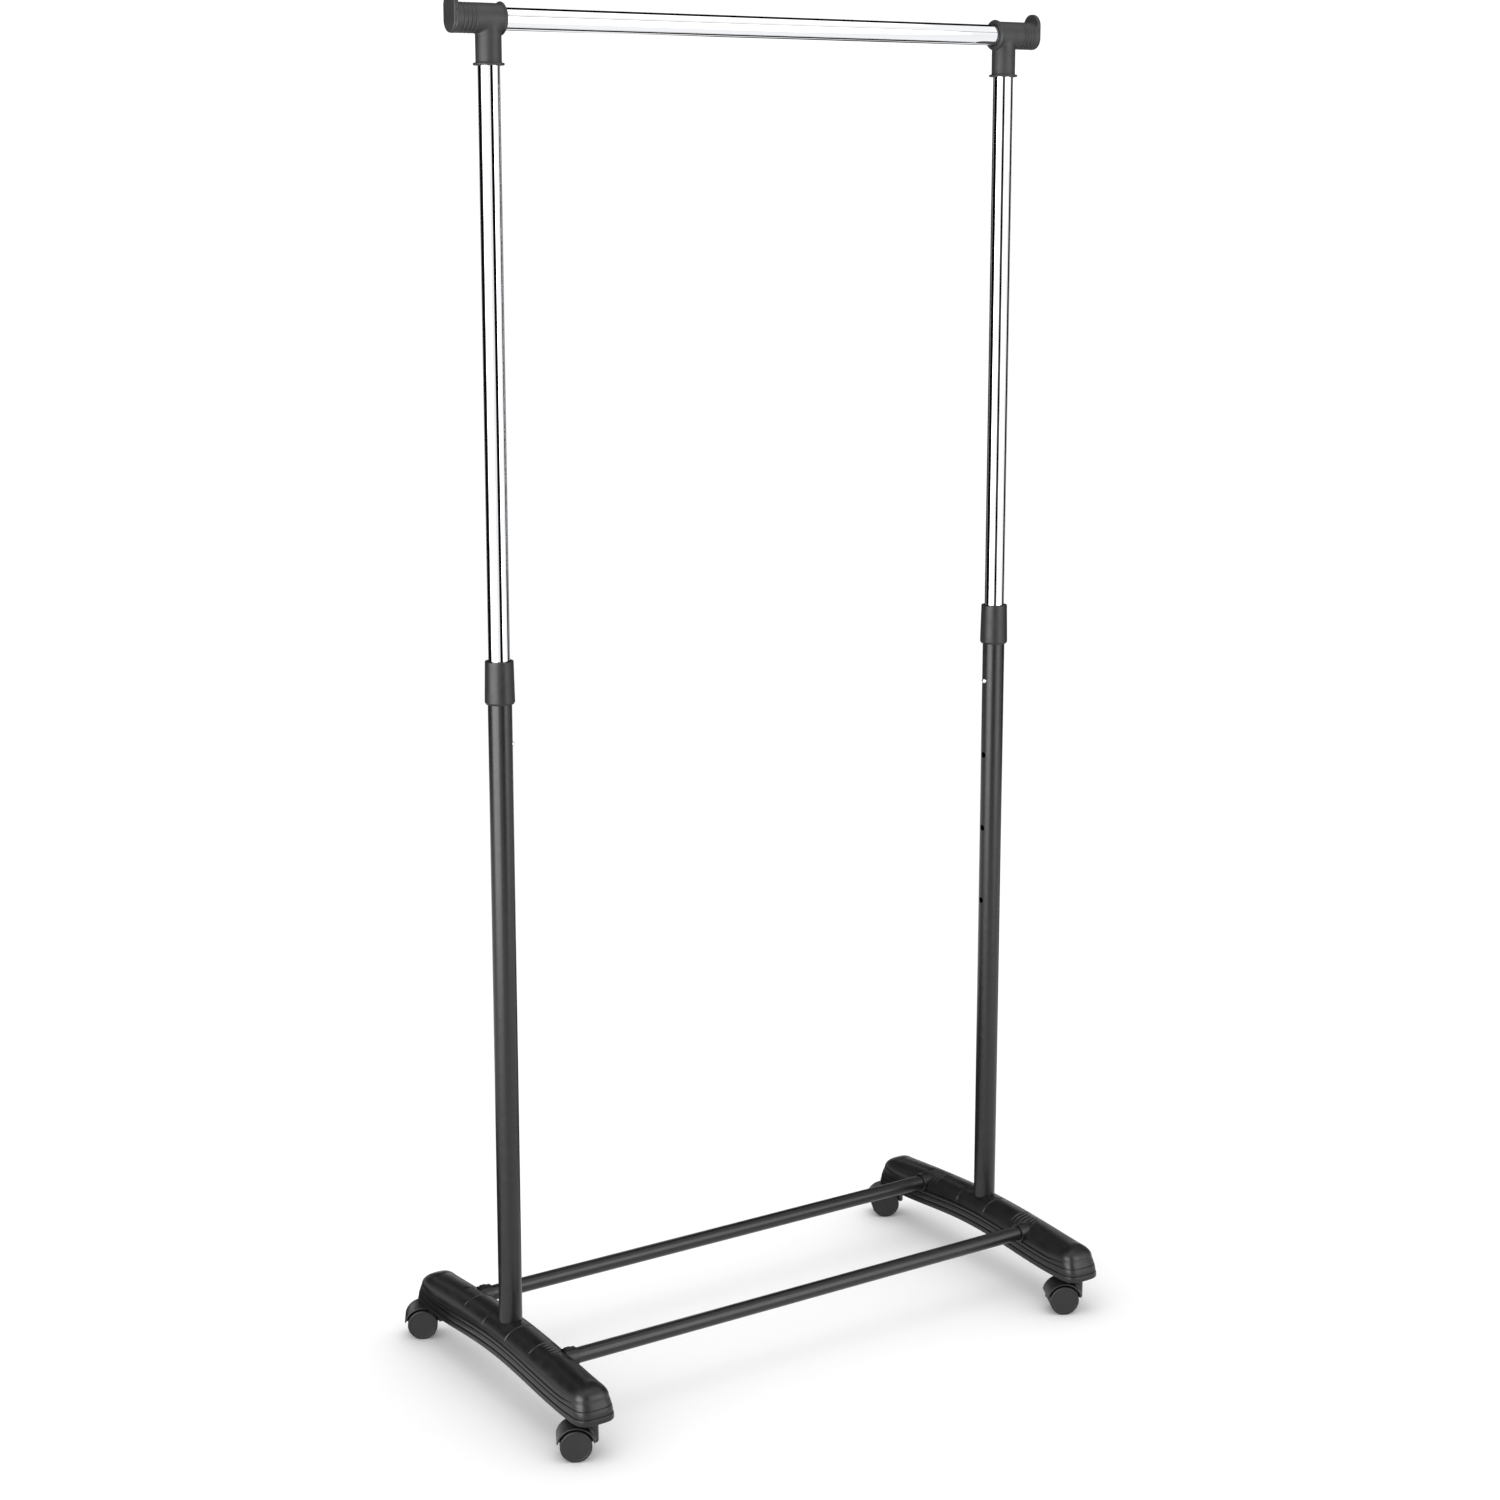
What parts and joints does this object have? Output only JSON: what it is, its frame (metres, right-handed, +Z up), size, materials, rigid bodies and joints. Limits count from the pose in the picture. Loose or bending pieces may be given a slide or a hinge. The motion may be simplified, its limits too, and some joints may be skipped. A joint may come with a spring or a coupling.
{
  "type": "rolling clothes rack",
  "caption": "Freestanding rolling garment rack: two telescoping uprights and a hanging rail on two arched feet joined by low bars, with twin-wheel casters.",
  "frame": {"origin": "on the floor under the middle of the hanging rail", "axes": "+X along the hanging rail towards the right upright, +Y from the front of the rack to its back, +Z up"},
  "size_m": [0.835, 0.4493, 1.6743],
  "materials": {
    "foot_plastic": "satin moulded black plastic, fine texture",
    "collar_plastic": "satin moulded black plastic",
    "tee_plastic": "matte moulded black plastic",
    "caster_plastic": "satin moulded black nylon",
    "wheel_plastic": "matte moulded black nylon",
    "black_tube": "satin black powder coat on steel tube",
    "chrome_tube": "bright chrome plate on steel tube",
    "button_steel": "bright plated steel",
    "spring_steel": "plain spring steel strip",
    "zinc_steel": "zinc plated steel",
    "nylon": "natural nylon"
  },
  "bodies": {
    "base": {"foot_left": "foot_plastic", "foot_right": "foot_plastic", "lower_bar_front": "black_tube", "lower_bar_back": "black_tube", "lower_tube_left": "black_tube", "lower_tube_right": "black_tube", "collar_left": "collar_plastic", "collar_right": "collar_plastic", "tube_insert_left": "nylon", "tube_insert_right": "nylon", "foot_washer_left": "zinc_steel", "foot_washer_right": "zinc_steel", "foot_bolt_left": "zinc_steel", "foot_bolt_right": "zinc_steel", "caster_sleeve_left_front": "zinc_steel", "caster_stem_left_front": "zinc_steel", "caster_sleeve_left_back": "zinc_steel", "caster_stem_left_back": "zinc_steel", "caster_sleeve_right_front": "zinc_steel", "caster_stem_right_front": "zinc_steel", "caster_sleeve_right_back": "zinc_steel", "caster_stem_right_back": "zinc_steel"},
    "upper_frame": {"upper_tube_left": "chrome_tube", "upper_tube_right": "chrome_tube", "tee_left": "tee_plastic", "tee_right": "tee_plastic", "hanging_rail": "chrome_tube", "snap_spring_left": "spring_steel", "snap_spring_right": "spring_steel"},
    "button_left": {"snap_button_left": "button_steel"},
    "button_right": {"snap_button_right": "button_steel"},
    "caster_left_front": {"caster_hood_left_front": "caster_plastic", "caster_axle_left_front": "zinc_steel"},
    "wheel_left_front_back": {"wheel_left_front_back": "wheel_plastic"},
    "wheel_left_front_front": {"wheel_left_front_front": "wheel_plastic"},
    "caster_left_back": {"caster_hood_left_back": "caster_plastic", "caster_axle_left_back": "zinc_steel"},
    "wheel_left_back_back": {"wheel_left_back_back": "wheel_plastic"},
    "wheel_left_back_front": {"wheel_left_back_front": "wheel_plastic"},
    "caster_right_front": {"caster_hood_right_front": "caster_plastic", "caster_axle_right_front": "zinc_steel"},
    "wheel_right_front_back": {"wheel_right_front_back": "wheel_plastic"},
    "wheel_right_front_front": {"wheel_right_front_front": "wheel_plastic"},
    "caster_right_back": {"caster_hood_right_back": "caster_plastic", "caster_axle_right_back": "zinc_steel"},
    "wheel_right_back_back": {"wheel_right_back_back": "wheel_plastic"},
    "wheel_right_back_front": {"wheel_right_back_front": "wheel_plastic"}
  },
  "joints": [
    {"name": "height_slide", "type": "slide", "parent": "base", "child": "upper_frame", "axis": [0, 0, 1], "range_m": [-0.3, 0], "deforming": ["snap_button_left", "snap_button_right"]},
    {"name": "button_left_press", "type": "slide", "parent": "upper_frame", "child": "button_left", "axis": [-1, 0, 0], "range_m": [0, 0.0046], "stiffness_N_per_m": 800, "deforming": ["snap_spring_left"]},
    {"name": "button_right_press", "type": "slide", "parent": "upper_frame", "child": "button_right", "axis": [1, 0, 0], "range_m": [0, 0.0046], "stiffness_N_per_m": 800, "deforming": ["snap_spring_right"]},
    {"name": "caster_left_front_swivel", "type": "hinge", "parent": "base", "child": "caster_left_front", "pos_m": [-0.3685, -0.1985, 0.045], "axis": [0, 0, 1], "continuous": true},
    {"name": "wheel_left_front_back_spin", "type": "hinge", "parent": "caster_left_front", "child": "wheel_left_front_back", "pos_m": [-0.38598, -0.1892, 0.01905], "axis": [0.4695, 0.8829, 0], "continuous": true},
    {"name": "wheel_left_front_front_spin", "type": "hinge", "parent": "caster_left_front", "child": "wheel_left_front_front", "pos_m": [-0.38598, -0.1892, 0.01905], "axis": [0.4695, 0.8829, 0], "continuous": true},
    {"name": "caster_left_back_swivel", "type": "hinge", "parent": "base", "child": "caster_left_back", "pos_m": [-0.3685, 0.1985, 0.045], "axis": [0, 0, 1], "continuous": true},
    {"name": "wheel_left_back_back_spin", "type": "hinge", "parent": "caster_left_back", "child": "wheel_left_back_back", "pos_m": [-0.38598, 0.2078, 0.01905], "axis": [0.4695, 0.8829, 0], "continuous": true},
    {"name": "wheel_left_back_front_spin", "type": "hinge", "parent": "caster_left_back", "child": "wheel_left_back_front", "pos_m": [-0.38598, 0.2078, 0.01905], "axis": [0.4695, 0.8829, 0], "continuous": true},
    {"name": "caster_right_front_swivel", "type": "hinge", "parent": "base", "child": "caster_right_front", "pos_m": [0.3685, -0.1985, 0.045], "axis": [0, 0, 1], "continuous": true},
    {"name": "wheel_right_front_back_spin", "type": "hinge", "parent": "caster_right_front", "child": "wheel_right_front_back", "pos_m": [0.35102, -0.1892, 0.01905], "axis": [0.4695, 0.8829, 0], "continuous": true},
    {"name": "wheel_right_front_front_spin", "type": "hinge", "parent": "caster_right_front", "child": "wheel_right_front_front", "pos_m": [0.35102, -0.1892, 0.01905], "axis": [0.4695, 0.8829, 0], "continuous": true},
    {"name": "caster_right_back_swivel", "type": "hinge", "parent": "base", "child": "caster_right_back", "pos_m": [0.3685, 0.1985, 0.045], "axis": [0, 0, 1], "continuous": true},
    {"name": "wheel_right_back_back_spin", "type": "hinge", "parent": "caster_right_back", "child": "wheel_right_back_back", "pos_m": [0.35102, 0.2078, 0.01905], "axis": [0.4695, 0.8829, 0], "continuous": true},
    {"name": "wheel_right_back_front_spin", "type": "hinge", "parent": "caster_right_back", "child": "wheel_right_back_front", "pos_m": [0.35102, 0.2078, 0.01905], "axis": [0.4695, 0.8829, 0], "continuous": true}
  ]
}
